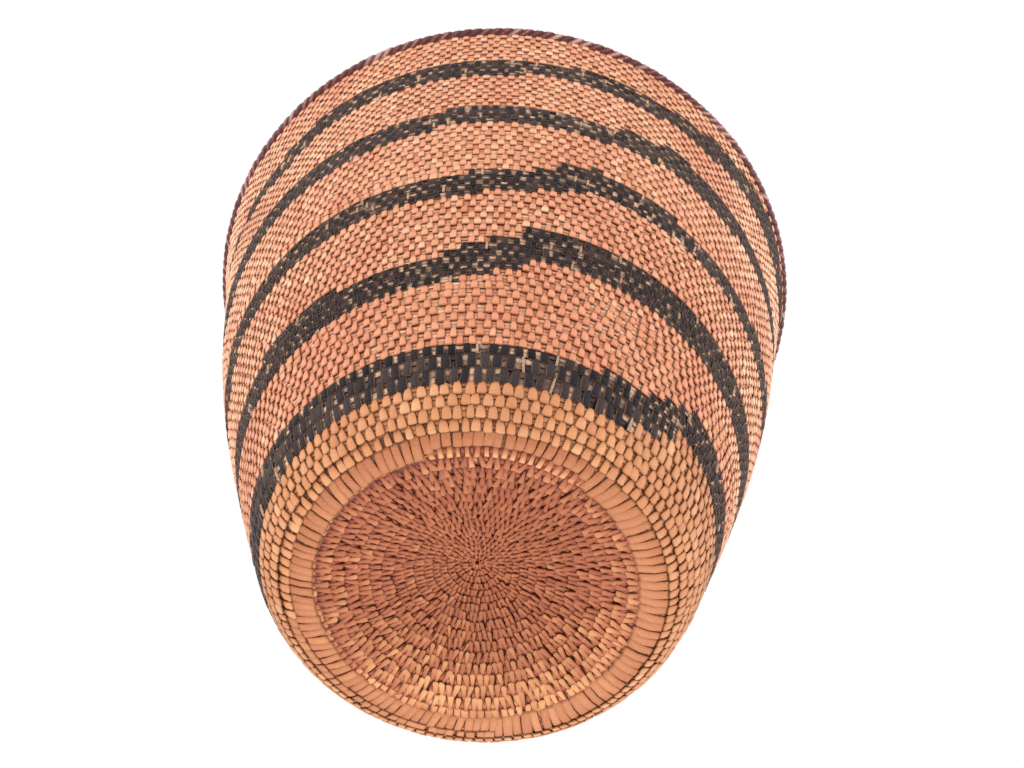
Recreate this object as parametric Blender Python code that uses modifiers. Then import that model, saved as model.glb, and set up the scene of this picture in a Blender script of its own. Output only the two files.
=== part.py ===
"""Lidded coiled basket, modelled as its separate coiled courses.

A round basket flares from a recessed base to a lashed rim. Its wall is one long
coil of narrow rows, and five bands of those rows are stitched in dark dyed fibre.
Each dark stripe runs level round the left of the front, jogs upwards in steps and
runs on level at the right; it comes down again at the back. A shallow domed lid of
the same coil sits inside the mouth and lifts straight off.

Units are metres and +Z is up. The origin is on the floor, under the middle of the
base. Every piece of the basket is cut from one outer curve, which starts at the
middle of the base, runs out to the standing ring, turns up and follows the wall to
the mouth. Azimuths are counted about +Z from +X, and the front faces -Y.
"""

import math

import bpy
import numpy as np

MM = 0.001

# Base and foot of the basket
BASE_RECESS = 16.4 * MM
STANDING_INNER_RADIUS = 50.0 * MM
STANDING_FLAT_WIDTH = 4.0 * MM
FOOT_RADIUS = 69.4 * MM
FOOT_HEIGHT = 19.6 * MM
START_COIL_RADIUS = 7.5 * MM

# Wall and mouth
MOUTH_RADIUS = 116.0 * MM
MOUTH_HEIGHT = 190.0 * MM
WALL_THICKNESS = 3.6 * MM
COURSE_RELIEF = 0.45 * MM
BASE_COURSE_RELIEF = 0.35 * MM
SEAT_GAP = 0.3 * MM

# Lashed rim of the basket
RIM_HALF_WIDTH = 3.0 * MM
RIM_HALF_HEIGHT = 2.1 * MM
RIM_OVERHANG = 2.3 * MM

# Lid
LID_DEPTH_BELOW_MOUTH = 9.0 * MM
LID_CROWN = 14.0 * MM
LID_THICKNESS = 3.4 * MM
LID_RIM_HALF_WIDTH = 2.7 * MM
LID_RIM_HALF_HEIGHT = 2.2 * MM

# Knob on the lid
KNOB_STEM_RADIUS = 7.5 * MM
KNOB_STEM_HEIGHT = 9.0 * MM
KNOB_CAP_RADIUS = 14.0 * MM
KNOB_CAP_HEIGHT = 12.0 * MM
KNOB_STEM_TURNS = 2
KNOB_CAP_TURNS = 3
KNOB_STEM_WAIST_SHARE = 0.86
KNOB_CAP_WAIST_SHARE = 0.72

# Handles of the curves, as shares of the run and the rise that they follow
BASE_MIDDLE_HANDLE_SHARE = 0.2
BASE_EDGE_HANDLE_SHARE = 0.13
TURN_HANDLE_SHARE = 0.12
WALL_LOWER_HANDLE_SHARES = (0.837, 0.627)
WALL_UPPER_HANDLE_SHARES = (0.375, 0.420)
LID_HANDLE_SHARE = 0.4
LASHING_GROOVE_SHARE = 0.16

# Edges of the five stripes, as shares of the outer face's length from the standing
# ring up, before the jog (left) and after it (right)
STRIPE_LOW_LEFT_SHARES = (0.099, 0.285, 0.481, 0.670, 0.846)
STRIPE_HIGH_LEFT_SHARES = (0.164, 0.341, 0.532, 0.728, 0.902)
STRIPE_LOW_RIGHT_SHARES = (0.188, 0.351, 0.532, 0.723, 0.909)
STRIPE_HIGH_RIGHT_SHARES = (0.248, 0.409, 0.578, 0.776, 0.982)

# Where each stripe jogs up and where all of them come down again, in degrees
FRONT_START_DEGREES = 165.0
JOG_START_DEGREES = (306.0, 257.0, 263.0, 286.0, 301.0)
JOG_SPAN_DEGREES = (21.0, 17.0, 27.0, 24.0, 26.0)
RETURN_START_DEGREES = 395.0
RETURN_SPAN_DEGREES = 95.0

# Rows of coil in each band, counted from the standing ring up to the mouth
TURN_ROWS = 6
STRIPE_ROWS = (3, 4, 4, 4, 4)
PLAIN_ROWS = (8, 10, 10, 11, 8)
LID_CENTRE_ROWS = 14
LID_RING_ROWS = 4
ROWS_PER_RIB = 2

# Wraps of the two lashings, drawn at about three times the real spacing
RIM_WRAPS = 44
LID_WRAPS = 36
STATIONS_PER_WRAP = 3
LASHING_SIDES = 6

# Fineness of the round pieces and of the curves that they are cut from
TURNED_STEPS = 32
PLAIN_FACE_STATIONS = 3
KNOB_STEPS = 18
CURVE_SAMPLES = 400
MERGE_DISTANCE = 0.01 * MM

COLLECTION_NAME = "lidded_coiled_basket"


def clear_scene():
    """Remove every object, so that the part starts from an empty scene."""
    for leftover in list(bpy.data.objects):
        bpy.data.objects.remove(leftover, do_unlink=True)


def make_collection(name):
    """Add a collection to the scene and return it."""
    collection = bpy.data.collections.new(name)
    bpy.context.scene.collection.children.link(collection)
    return collection


def make_material(name, colour, roughness):
    """A plain material with a linear base colour."""
    material = bpy.data.materials.new(name)
    material.use_nodes = True
    shader = material.node_tree.nodes["Principled BSDF"]
    shader.inputs["Base Color"].default_value = (*colour, 1.0)
    shader.inputs["Roughness"].default_value = roughness
    shader.inputs["Metallic"].default_value = 0.0
    return material


def bezier(points, samples=CURVE_SAMPLES):
    """Points along a Bezier curve of any degree, as an array of (radius, height)."""
    points = np.array(points, dtype=float)
    t = np.linspace(0.0, 1.0, samples)[:, None]
    degree = len(points) - 1
    curve = np.zeros((samples, points.shape[1]))
    for index, point in enumerate(points):
        weight = math.comb(degree, index) * t ** index * (1.0 - t) ** (degree - index)
        curve += weight * point
    return curve


class ArcCurve:
    """A curve of (radius, height) points that is read by its length from the start."""

    def __init__(self, points):
        steps = np.hypot(*np.diff(points, axis=0).T)
        keep = np.concatenate([[True], steps > 0.0])
        self.points = points[keep]
        steps = np.hypot(*np.diff(self.points, axis=0).T)
        self.lengths = np.concatenate([[0.0], np.cumsum(steps)])
        self.total = self.lengths[-1]

    def at(self, length):
        """Point at a length along the curve."""
        radius = np.interp(length, self.lengths, self.points[:, 0])
        height = np.interp(length, self.lengths, self.points[:, 1])
        return np.array([radius, height])

    def outward(self, length):
        """Unit normal that points out of the basket, to the right of the travel."""
        span = self.total / len(self.points)
        ahead = self.at(min(length + span, self.total))
        behind = self.at(max(length - span, 0.0))
        along = (ahead - behind) / np.hypot(*(ahead - behind))
        return np.array([along[1], -along[0]])

    def offset(self, length, distance):
        """Point at a length, moved outwards by a distance square to the curve."""
        return self.at(length) + self.outward(length) * distance

    def length_at_height(self, height):
        """Length at which a rising curve reaches a height."""
        return float(np.interp(height, self.points[:, 1], self.lengths))


def base_curve():
    """Underside of the recessed base, from its middle out to the standing ring."""
    middle = STANDING_INNER_RADIUS * BASE_MIDDLE_HANDLE_SHARE
    edge = STANDING_INNER_RADIUS * (1.0 - BASE_EDGE_HANDLE_SHARE)
    return ArcCurve(bezier([
        (0.0, BASE_RECESS),
        (middle, BASE_RECESS),
        (edge, 0.0),
        (STANDING_INNER_RADIUS, 0.0),
    ]))


def wall_curve():
    """Outer face from the standing ring, round the turn and up to the mouth."""
    run = MOUTH_RADIUS - FOOT_RADIUS
    rise = MOUTH_HEIGHT - FOOT_HEIGHT
    lower = (FOOT_RADIUS + run * WALL_LOWER_HANDLE_SHARES[0],
             FOOT_HEIGHT + rise * WALL_LOWER_HANDLE_SHARES[1])
    upper = (MOUTH_RADIUS - run * WALL_UPPER_HANDLE_SHARES[0],
             MOUTH_HEIGHT - rise * WALL_UPPER_HANDLE_SHARES[1])
    slope = (lower[0] - FOOT_RADIUS) / (lower[1] - FOOT_HEIGHT)
    turn_height = FOOT_HEIGHT * TURN_HANDLE_SHARE
    turn_radius = FOOT_RADIUS - slope * (FOOT_HEIGHT - turn_height)
    flat_end = STANDING_INNER_RADIUS + STANDING_FLAT_WIDTH
    flat = np.array([(STANDING_INNER_RADIUS, 0.0), (flat_end, 0.0)])
    turn = bezier([(flat_end, 0.0), (turn_radius, turn_height), (FOOT_RADIUS, FOOT_HEIGHT)])
    wall = bezier([(FOOT_RADIUS, FOOT_HEIGHT), lower, upper, (MOUTH_RADIUS, MOUTH_HEIGHT)])
    return ArcCurve(np.concatenate([flat, turn, wall]))


def rib_lengths(start, end, rows):
    """Lengths of the grooves and crests of a band's ribs, from start to end."""
    ribs = max(1, round(rows / ROWS_PER_RIB))
    return np.linspace(start, end, 2 * ribs + 1)


def ribbed_face(curve, start, end, rows, relief):
    """Points of a face whose crests stand off the curve by the relief."""
    return [curve.offset(length, relief if index % 2 else 0.0)
            for index, length in enumerate(rib_lengths(start, end, rows))]


def plain_face(curve, start, end, distance):
    """Points of a face that keeps one distance from the curve."""
    return [curve.offset(length, distance)
            for length in np.linspace(start, end, PLAIN_FACE_STATIONS)]


def band_section(curve, start, end, rows, relief=COURSE_RELIEF):
    """Closed section of a band of courses: up its ribbed face, down its inner one."""
    outer = ribbed_face(curve, start, end, rows, relief)
    return outer + plain_face(curve, start, end, -WALL_THICKNESS)[::-1]


def standing_section(curve, end, rows):
    """Closed section of the turn, whose first stretch is flat and meets the floor."""
    start = STANDING_FLAT_WIDTH
    outer = [curve.at(0.0)] + ribbed_face(curve, start, end, rows, COURSE_RELIEF)
    inner = [curve.offset(0.0, -WALL_THICKNESS)]
    inner += plain_face(curve, start, end, -WALL_THICKNESS)
    return outer + inner[::-1]


def disc_section(curve, end, rows):
    """Open section of a disc that reaches the axis, ribbed on its outer face."""
    outer = ribbed_face(curve, 0.0, end, rows, BASE_COURSE_RELIEF)
    inner = [curve.offset(0.0, -WALL_THICKNESS), curve.offset(end, -WALL_THICKNESS)]
    outer[0][0] = 0.0
    inner[0][0] = 0.0
    return inner + outer[::-1]


def turned_object(name, section, closed, material, collection, steps=TURNED_STEPS):
    """Turn a section of (radius, height) points once round the Z axis."""
    mesh = bpy.data.meshes.new(name)
    vertices = [(radius, 0.0, height) for radius, height in section]
    edges = [(index, index + 1) for index in range(len(vertices) - 1)]
    if closed:
        edges.append((len(vertices) - 1, 0))
    mesh.from_pydata(vertices, edges, [])
    mesh.materials.append(material)
    piece = bpy.data.objects.new(name, mesh)
    collection.objects.link(piece)
    screw = piece.modifiers.new("turned", "SCREW")
    screw.axis = "Z"
    screw.angle = 2.0 * math.pi
    screw.steps = steps
    screw.render_steps = steps
    screw.use_merge_vertices = True
    screw.merge_threshold = MERGE_DISTANCE
    screw.use_smooth_shade = True
    return piece


def torus_object(name, radius, half_width, steps, sides, material, collection):
    """A torus with its own smooth mesh, whose points are then moved into place."""
    bpy.ops.mesh.primitive_torus_add(
        major_segments=steps, minor_segments=sides,
        major_radius=radius, minor_radius=half_width)
    piece = bpy.context.object
    piece.name = name
    piece.data.name = name
    for owner in list(piece.users_collection):
        owner.objects.unlink(piece)
    collection.objects.link(piece)
    piece.data.shade_smooth()
    piece.data.materials.append(material)
    return piece


def band_object(name, sections, material, collection):
    """A band of courses whose closed section changes from step to step.

    The band starts as a torus with one ring of points for each section. The points
    of each ring are moved to the (radius, height) points of its section.
    """
    places = np.array(sections)
    steps, sides = places.shape[:2]
    piece = torus_object(name, MOUTH_RADIUS, WALL_THICKNESS, steps, sides, material,
                         collection)
    around = np.arange(steps)[:, None] * 2.0 * math.pi / steps
    radii = places[:, :, 0]
    points = np.stack([radii * np.cos(around), radii * np.sin(around), places[:, :, 1]],
                      axis=-1)
    piece.data.vertices.foreach_set("co", points.ravel())
    piece.data.update()
    return piece


def lashing_object(name, centre, half_width, half_height, wraps, material, collection):
    """A rod of coil lashed with slanted strips, closed into a ring.

    The ring starts as a torus. Its section becomes an oval, and a wave that runs
    slanting round it draws each groove in between two wraps of the strip.
    """
    radius, height = centre
    piece = torus_object(name, radius, half_width, wraps * STATIONS_PER_WRAP,
                         LASHING_SIDES, material, collection)
    count = len(piece.data.vertices)
    places = np.empty(count * 3)
    piece.data.vertices.foreach_get("co", places)
    places = places.reshape(count, 3)
    around = np.arctan2(places[:, 1], places[:, 0])
    across = np.hypot(places[:, 0], places[:, 1]) - radius
    section_angle = np.arctan2(places[:, 2], across)
    groove = 0.5 - 0.5 * np.cos(wraps * around + section_angle)
    size = 1.0 - LASHING_GROOVE_SHARE * groove
    reach = radius + half_width * size * np.cos(section_angle)
    places[:, 0] = reach * np.cos(around)
    places[:, 1] = reach * np.sin(around)
    places[:, 2] = half_height * size * np.sin(section_angle)
    piece.data.vertices.foreach_set("co", places.ravel())
    piece.data.update()
    piece.location = (0.0, 0.0, height)
    return piece


def build_base(collection, start_material, base_material):
    """Start coil and spiral base, recessed so that only its edge meets the floor."""
    curve = base_curve()
    start_end = curve.lengths[np.searchsorted(curve.points[:, 0], START_COIL_RADIUS)]
    base_end = curve.total - SEAT_GAP
    row = base_end / round(base_end / row_pitch(wall_curve()))
    section = disc_section(curve, start_end, round(start_end / row))
    turned_object("base_start_coil", section, False, start_material, collection)
    section = band_section(curve, start_end + SEAT_GAP, base_end,
                           round((base_end - start_end) / row), BASE_COURSE_RELIEF)
    turned_object("base_coil", section[::-1], True, base_material, collection)


def row_pitch(curve):
    """Height of one row of coil: the outer face's length shared among its rows."""
    return curve.total / (TURN_ROWS + sum(STRIPE_ROWS) + sum(PLAIN_ROWS))


def smooth_step(ramp):
    """Rise from 0 to 1 over a ramp, with both of its ends rounded off."""
    ramp = np.clip(ramp, 0.0, 1.0)
    return ramp * ramp * (3.0 - 2.0 * ramp)


def stripe_edge(total, left_share, right_share, jog_start, jog_span):
    """Lengths up the outer face at which one edge of a stripe crosses each step.

    The edge runs level from the left of the front, rises over the jog, runs on
    level and comes down again at the back, where the turn closes.
    """
    azimuths = np.arange(TURNED_STEPS) * 360.0 / TURNED_STEPS
    azimuths = (azimuths - FRONT_START_DEGREES) % 360.0 + FRONT_START_DEGREES
    rise = smooth_step((azimuths - jog_start) / jog_span)
    fall = smooth_step((azimuths - RETURN_START_DEGREES) / RETURN_SPAN_DEGREES)
    return total * (left_share + (right_share - left_share) * (rise - fall))


def stripe_edges(total):
    """Lower and upper edge of each stripe from the bottom up, one after the other."""
    jogs = list(zip(JOG_START_DEGREES, JOG_SPAN_DEGREES))
    lows = zip(STRIPE_LOW_LEFT_SHARES, STRIPE_LOW_RIGHT_SHARES, jogs)
    highs = zip(STRIPE_HIGH_LEFT_SHARES, STRIPE_HIGH_RIGHT_SHARES, jogs)
    edges = []
    for low, high in zip(lows, highs):
        for left, right, jog in (low, high):
            edges.append(stripe_edge(total, left, right, *jog))
    return edges


def build_wall(collection, plain_material, stripe_material):
    """Standing turn, dark stripes and plain courses, stacked with a seat gap."""
    curve = wall_curve()
    edges = stripe_edges(curve.total)
    sections = [standing_section(curve, end - SEAT_GAP / 2, TURN_ROWS) for end in edges[0]]
    band_object("standing_turn", sections, plain_material, collection)
    edges.append(np.full(TURNED_STEPS, curve.total))
    for index, (stripe, plain) in enumerate(zip(STRIPE_ROWS, PLAIN_ROWS)):
        bands = ((f"dark_stripe_{index + 1}", stripe, stripe_material, 2 * index),
                 (f"plain_courses_{index + 1}", plain, plain_material, 2 * index + 1))
        for name, rows, material, edge in bands:
            sections = [band_section(curve, start + SEAT_GAP / 2, end - SEAT_GAP / 2, rows)
                        for start, end in zip(edges[edge], edges[edge + 1])]
            band_object(name, sections, material, collection)


def build_rim(collection, lashing_material):
    """Lashed rim rod on the last row, standing proud of the wall's outer face."""
    radius = MOUTH_RADIUS + RIM_OVERHANG - RIM_HALF_WIDTH
    height = MOUTH_HEIGHT + SEAT_GAP + RIM_HALF_HEIGHT
    lashing_object("rim_lashing", (radius, height), RIM_HALF_WIDTH, RIM_HALF_HEIGHT,
                   RIM_WRAPS, lashing_material, collection)


def lid_rim_centre():
    """Centre of the lid's lashed rim, which touches the flared wall all round.

    The wall's inner face is flat between its turned steps, so the rim is set in
    from the middle of a flat, by the seat gap measured square to the slope.
    """
    curve = wall_curve()
    height = MOUTH_HEIGHT - LID_DEPTH_BELOW_MOUTH
    length = curve.length_at_height(height)
    face = curve.offset(length, -WALL_THICKNESS)
    normal = curve.outward(length)
    flat_radius = face[0] - (height - face[1]) * normal[1] / normal[0]
    flat_radius *= math.cos(math.pi / TURNED_STEPS)
    reach = math.hypot(LID_RIM_HALF_WIDTH * normal[0], LID_RIM_HALF_HEIGHT * normal[1])
    return flat_radius - (reach + SEAT_GAP) / normal[0], height


def lid_curve():
    """Top face of the lid, from the edge of its disc up to its middle, reversed.

    It is read from the middle outwards, with the outward side facing down, so a
    negative distance rises above it.
    """
    radius, height = lid_rim_centre()
    edge = radius - LID_RIM_HALF_WIDTH - SEAT_GAP
    top = height + LID_THICKNESS / 2 + LID_CROWN
    return ArcCurve(bezier([
        (0.0, top),
        (edge * LID_HANDLE_SHARE, top),
        (edge, height + LID_THICKNESS / 2),
    ]))


def lid_band_section(curve, start, end, rows):
    """Closed section of a band of the lid, ribbed on top and plain below."""
    top = ribbed_face(curve, start, end, rows, -COURSE_RELIEF)
    below = plain_face(curve, start, end, LID_THICKNESS)
    return top + below[::-1]


def build_lid(collection, plain_material, stripe_material, lashing_material):
    """Domed lid in three bands with its lashed rim, seated inside the mouth."""
    curve = lid_curve()
    pitch = row_pitch(wall_curve())
    rows = round(curve.total / pitch)
    pitch = curve.total / rows
    centre_end = LID_CENTRE_ROWS * pitch
    ring_end = centre_end + LID_RING_ROWS * pitch
    outer_rows = rows - LID_CENTRE_ROWS - LID_RING_ROWS

    centre = lid_band_section(curve, 0.0, centre_end - SEAT_GAP / 2, LID_CENTRE_ROWS)
    centre[0][0] = 0.0
    centre[-1][0] = 0.0
    pieces = [turned_object("lid_centre_coil", centre, False, plain_material, collection)]
    ring = lid_band_section(curve, centre_end + SEAT_GAP / 2, ring_end - SEAT_GAP / 2,
                            LID_RING_ROWS)
    pieces.append(turned_object("lid_dark_ring", ring, True, stripe_material, collection))
    outer = lid_band_section(curve, ring_end + SEAT_GAP / 2, curve.total, outer_rows)
    pieces.append(turned_object("lid_outer_coil", outer, True, plain_material, collection))
    pieces.append(lashing_object("lid_rim_lashing", lid_rim_centre(), LID_RIM_HALF_WIDTH,
                                 LID_RIM_HALF_HEIGHT, LID_WRAPS, lashing_material,
                                 collection))
    return pieces


def rounded_stack(radius, bottom, height, turns, waist_share):
    """Outer face of a short stack of coil turns, from its top to its bottom."""
    levels = np.linspace(height, 0.0, 2 * turns + 1)
    shares = np.where(np.arange(2 * turns + 1) % 2 == 1, 1.0, waist_share)
    return [(radius * share, bottom + level) for level, share in zip(levels, shares)]


def build_knob(collection, plain_material, lashing_material):
    """Coiled stem and cap of the knob, seated on the middle of the lid."""
    stem_bottom = lid_curve().at(0.0)[1] + COURSE_RELIEF + SEAT_GAP
    cap_bottom = stem_bottom + KNOB_STEM_HEIGHT + SEAT_GAP
    stem = rounded_stack(KNOB_STEM_RADIUS, stem_bottom, KNOB_STEM_HEIGHT, KNOB_STEM_TURNS,
                         KNOB_STEM_WAIST_SHARE)
    cap = rounded_stack(KNOB_CAP_RADIUS, cap_bottom, KNOB_CAP_HEIGHT, KNOB_CAP_TURNS,
                        KNOB_CAP_WAIST_SHARE)
    pieces = []
    parts = (("lid_knob_stem", stem, plain_material), ("lid_knob_cap", cap, lashing_material))
    for name, face, material in parts:
        section = [(0.0, face[0][1])] + face + [(0.0, face[-1][1])]
        pieces.append(turned_object(name, section, False, material, collection, KNOB_STEPS))
    return pieces


def hang_on_lift_axis(pieces, collection):
    """Parent the lid's pieces to an empty on the axis that the lid is lifted along."""
    lift = bpy.data.objects.new("lid_lift_axis", None)
    lift.location = (0.0, 0.0, lid_rim_centre()[1])
    collection.objects.link(lift)
    bpy.context.view_layer.update()
    for piece in pieces:
        piece.parent = lift
        piece.matrix_parent_inverse = lift.matrix_world.inverted()


def main():
    clear_scene()
    collection = make_collection(COLLECTION_NAME)
    natural = make_material("natural_splint", (0.61, 0.28, 0.15), 0.55)
    base_splint = make_material("reddened_base_splint", (0.42, 0.14, 0.08), 0.6)
    dyed = make_material("dyed_dark_splint", (0.055, 0.045, 0.05), 0.6)
    lashing = make_material("maroon_lashing", (0.17, 0.04, 0.035), 0.45)
    build_base(collection, base_splint, base_splint)
    build_wall(collection, natural, dyed)
    build_rim(collection, lashing)
    lid_pieces = build_lid(collection, natural, dyed, lashing)
    lid_pieces += build_knob(collection, natural, lashing)
    hang_on_lift_axis(lid_pieces, collection)


main()
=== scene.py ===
"""Dressed scene of the lidded coiled basket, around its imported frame.

One long coil of narrow rows starts at the middle of the recessed base, runs out over
the standing ring and climbs the flared wall to the lashed rim. Every row is built
from its own splint stitches, and five stripes of them are dyed dark. The lid that
rests in the mouth is made in the same way and rides on its own body.

Lengths are metres. Azimuths are degrees about +Z from +X; the front faces -Y.
"""

from __future__ import annotations

import enum
import logging
import math
from collections.abc import Callable
from dataclasses import dataclass, fields, replace
from functools import partial

import bpy
import numpy as np
from mathutils import Matrix

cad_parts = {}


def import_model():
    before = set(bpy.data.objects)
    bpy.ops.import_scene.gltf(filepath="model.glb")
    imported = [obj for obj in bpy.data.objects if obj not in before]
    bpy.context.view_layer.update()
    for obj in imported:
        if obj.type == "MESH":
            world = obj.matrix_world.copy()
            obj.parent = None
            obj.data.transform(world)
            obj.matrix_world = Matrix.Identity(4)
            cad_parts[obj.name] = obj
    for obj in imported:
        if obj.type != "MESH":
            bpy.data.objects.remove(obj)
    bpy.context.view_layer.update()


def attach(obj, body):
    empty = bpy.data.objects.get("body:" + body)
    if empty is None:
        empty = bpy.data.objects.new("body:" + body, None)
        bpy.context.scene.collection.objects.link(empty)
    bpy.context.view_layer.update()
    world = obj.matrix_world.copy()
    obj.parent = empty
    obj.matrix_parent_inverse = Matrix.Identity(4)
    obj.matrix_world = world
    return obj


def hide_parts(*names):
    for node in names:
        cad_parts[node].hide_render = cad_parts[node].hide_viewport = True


MM = 0.001
TURN = 2.0 * math.pi
IMAGE_WIDTH = 1024.0
WEAVE = "weave"
Array = np.ndarray
Material = bpy.types.Material
NodeTree = bpy.types.NodeTree
Socket = bpy.types.NodeSocket
# Points (n, 3), quads (m, 4) and the points' values for the weave attribute (n, 4)
MeshArrays = tuple[Array, Array, Array]

log = logging.getLogger("basket")


class Body(enum.Enum):
    """The two bodies that pieces ride on."""

    BASKET = "basket"
    LID = "lid"


class Slot(enum.Enum):
    """Material slots."""

    NATURAL = "natural_splint"
    BASE = "base_splint"
    DYED = "dyed_splint"
    LASHING = "maroon_lashing"


class Seed(enum.IntEnum):
    """Seeds of the small differences, one for each run of random draws."""

    STITCHES = 11
    STRIPS = 13
    FILLERS = 15
    WORN = 17
    RIM = 31
    LID_STITCHES = 47
    LID_STRIPS = 49
    LID_RIM = 53
    STEM = 59
    CAP = 61


def linear(colour: str) -> tuple[float, float, float, float]:
    """Linear colour of an sRGB hex value.

    Args:
        colour: Six hex digits.

    Returns:
        Red, green, blue and an alpha of 1.
    """
    parts = [int(colour[index:index + 2], 16) / 255.0 for index in (0, 2, 4)]
    parts = [part / 12.92 if part <= 0.04045 else ((part + 0.055) / 1.055) ** 2.4
             for part in parts]
    return (parts[0], parts[1], parts[2], 1.0)


def smooth(ramp: Array) -> Array:
    """Rise from 0 to 1 over a ramp with both ends rounded: 3t^2 - 2t^3."""
    ramp = np.clip(ramp, 0.0, 1.0)
    return ramp * ramp * (3.0 - 2.0 * ramp)


def bezier(points: list[tuple[float, float]], samples: int = 400) -> Array:
    """Points along a Bezier curve: each control point times its Bernstein weight.

    Args:
        points: Control points as (radius, height).
        samples: Number of points on the curve.

    Returns:
        Array of shape (samples, 2).
    """
    t = np.linspace(0.0, 1.0, samples)[:, None]
    degree = len(points) - 1
    curve = np.zeros((samples, 2))
    for index, point in enumerate(points):
        weight = math.comb(degree, index) * t ** index * (1.0 - t) ** (degree - index)
        curve += weight * np.array(point)
    return curve


def turned(radius: Array, height: Array, angle: Array) -> Array:
    """Points turned about +Z: radius times cosine, radius times sine, and height."""
    x, y = radius * np.cos(angle), radius * np.sin(angle)
    return np.stack(np.broadcast_arrays(x, y, height), axis=-1)


def closed_mesh(points: Array, weave: list[Array], poles: bool = False) -> MeshArrays:
    """Mesh of a surface that closes on itself both ways.

    Args:
        points: Points of shape (around, section, 3).
        weave: The four weave values, each of a shape that spreads over the points.
        poles: Whether the sections share their first and their last points.

    Returns:
        Points, quads and weave values.
    """
    grid = np.arange(points.size // 3).reshape(points.shape[:2])
    if poles:
        grid[:, 0] = grid[0, 0]
        grid[:, -1] = grid[0, -1]
    right = np.roll(grid, -1, axis=0)
    quads = np.stack([grid, right, np.roll(right, -1, axis=1), np.roll(grid, -1, axis=1)],
                     axis=-1)
    values = np.stack([np.broadcast_to(value, grid.shape) for value in weave], axis=-1)
    return points.reshape(-1, 3), quads.reshape(-1, 4), values.reshape(-1, 4)


def draws(seed: Seed, count: int) -> Callable[[float], Array]:
    """A function that draws runs of small differences around 0 from their spread."""
    random = np.random.default_rng(seed)
    return lambda spread: random.normal(0.0, spread, count)


def put(name: str, data: bpy.types.ID) -> bpy.types.Object:
    """Put data into the scene as a new object.

    Args:
        name: The object's name.
        data: Mesh, camera or light.

    Returns:
        The object.
    """
    thing = bpy.data.objects.new(name, data)
    bpy.context.scene.collection.objects.link(thing)
    return thing


def add_node(tree: NodeTree, kind: str, links: dict | None = None,
             **settings: object) -> bpy.types.Node:
    """Add a shader node, set it and link its inputs.

    Args:
        tree: Node tree to add to.
        kind: Type name of the node, after ShaderNode.
        links: Input name or number to an output socket or a plain value.
        **settings: Attributes of the node.

    Returns:
        The new node.
    """
    node = tree.nodes.new("ShaderNode" + kind)
    for key, value in settings.items():
        setattr(node, key, value)
    for key, value in (links or {}).items():
        socket = node.inputs[key]
        if isinstance(value, Socket):
            tree.links.new(value, socket)
        else:
            socket.default_value = value
    return node


def combined(tree: NodeTree, operation: str, first: object, second: object) -> Socket:
    """One value from two sockets or plain values, by an arithmetic node."""
    return add_node(tree, "Math", {0: first, 1: second}, operation=operation).outputs[0]


@dataclass(frozen=True)
class Solid:
    """A solid of the frame, and what the pieces that stand for it are made of.

    inlay is the material of what shows between its stitches, where it is another.
    """

    name: str
    body: Body
    slot: Slot
    material: Material
    inlay: Material | None = None

    def add(self, part: str, arrays: MeshArrays, inlaid: bool = False) -> None:
        """Put whole arrays into a new smooth piece that rides, and stands for the solid.

        A quad that names a point twice in a row, as at a pole, becomes a triangle.

        Args:
            part: What the piece is: the end of its name.
            arrays: The piece's mesh, with its quads in outward order.
            inlaid: Whether the piece lies between or behind the stitches.
        """
        name = f"{self.name}_{part}"
        points, quads, weave = arrays
        kept = quads != np.roll(quads, 1, axis=1)
        faces = kept.sum(axis=1) > 2
        kept = kept[faces]
        used, corners = np.unique(quads[faces][kept], return_inverse=True)
        starts = np.concatenate([[0], np.cumsum(kept.sum(axis=1))[:-1]])
        points, weave = points[used], weave[used]
        mesh = bpy.data.meshes.new(name)
        mesh.vertices.add(len(points))
        mesh.vertices.foreach_set("co", points.astype(np.float32).ravel())
        mesh.loops.add(len(corners))
        mesh.polygons.add(len(starts))
        mesh.polygons.foreach_set("loop_start", starts.astype(np.int32))
        mesh.polygons.foreach_set("vertices", corners.ravel().astype(np.int32))
        mesh.polygons.foreach_set("use_smooth", np.ones(len(starts), dtype=bool))
        mesh.update(calc_edges=True)
        layer = mesh.attributes.new(WEAVE, "FLOAT_COLOR", "POINT")
        layer.data.foreach_set("color", weave.astype(np.float32).ravel())
        mesh.materials.append(self.inlay if inlaid and self.inlay else self.material)
        piece = put(name, mesh)
        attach(piece, self.body.value)
        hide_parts(self.name)
        log.info("%s: %d faces on %s for %s", name, len(starts), self.body.value,
                 self.name)


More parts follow.
